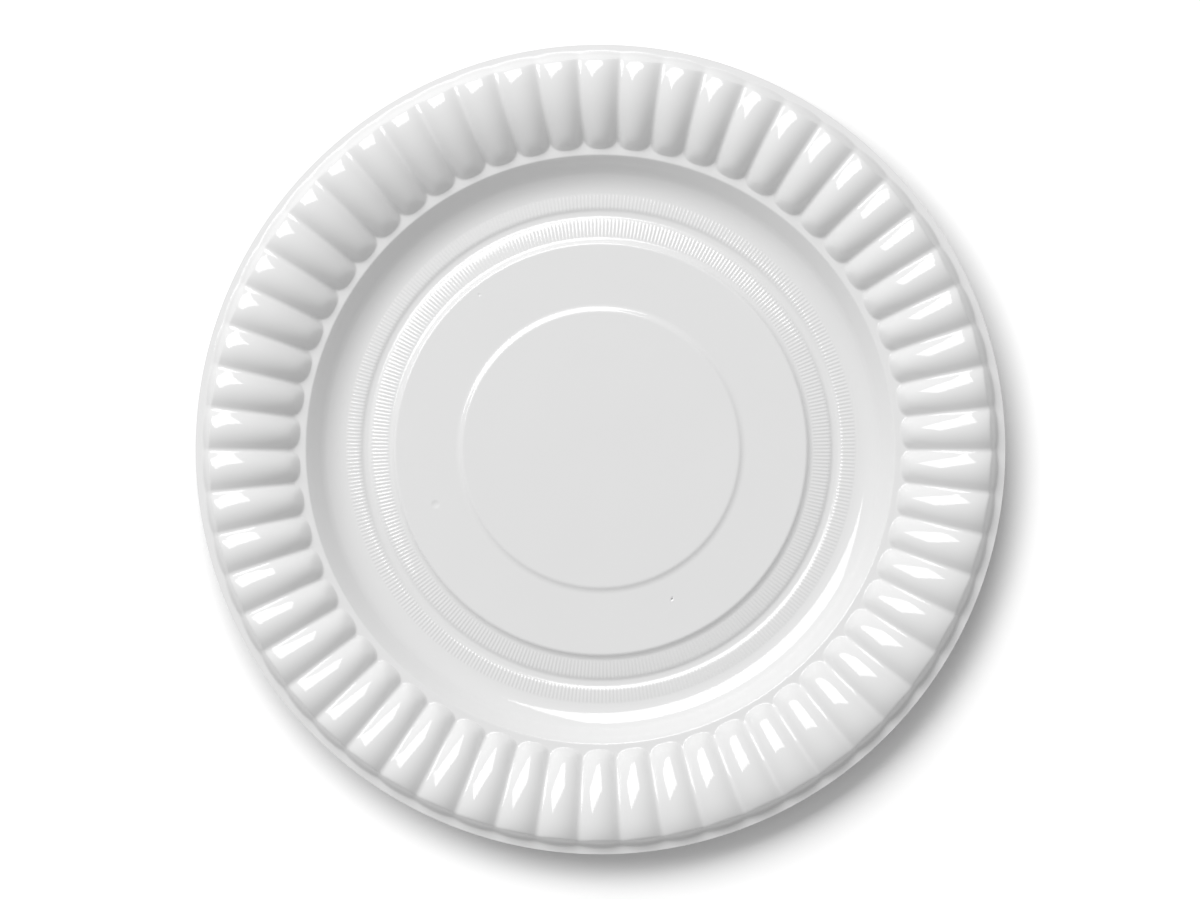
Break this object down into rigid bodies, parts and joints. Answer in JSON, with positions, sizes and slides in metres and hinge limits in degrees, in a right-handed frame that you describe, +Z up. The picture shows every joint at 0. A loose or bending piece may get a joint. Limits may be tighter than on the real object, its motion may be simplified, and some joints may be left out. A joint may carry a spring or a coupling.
{
  "type": "plastic plate",
  "caption": "Round white disposable dinner plate with a fluted rim, ribbed rings round its floor and a ring underneath to stand on, pressed from thin glossy plastic sheet.",
  "frame": {"origin": "centre of the ring that the plate stands on, at table height", "axes": "+Z up along the plate's axis, out of the dish; +X and +Y in the table plane"},
  "size_m": [0.22, 0.22, 0.0163],
  "materials": {
    "white_plastic": "glossy white polystyrene sheet"
  },
  "bodies": {
    "root": {"plate": "white_plastic"}
  },
  "joints": []
}
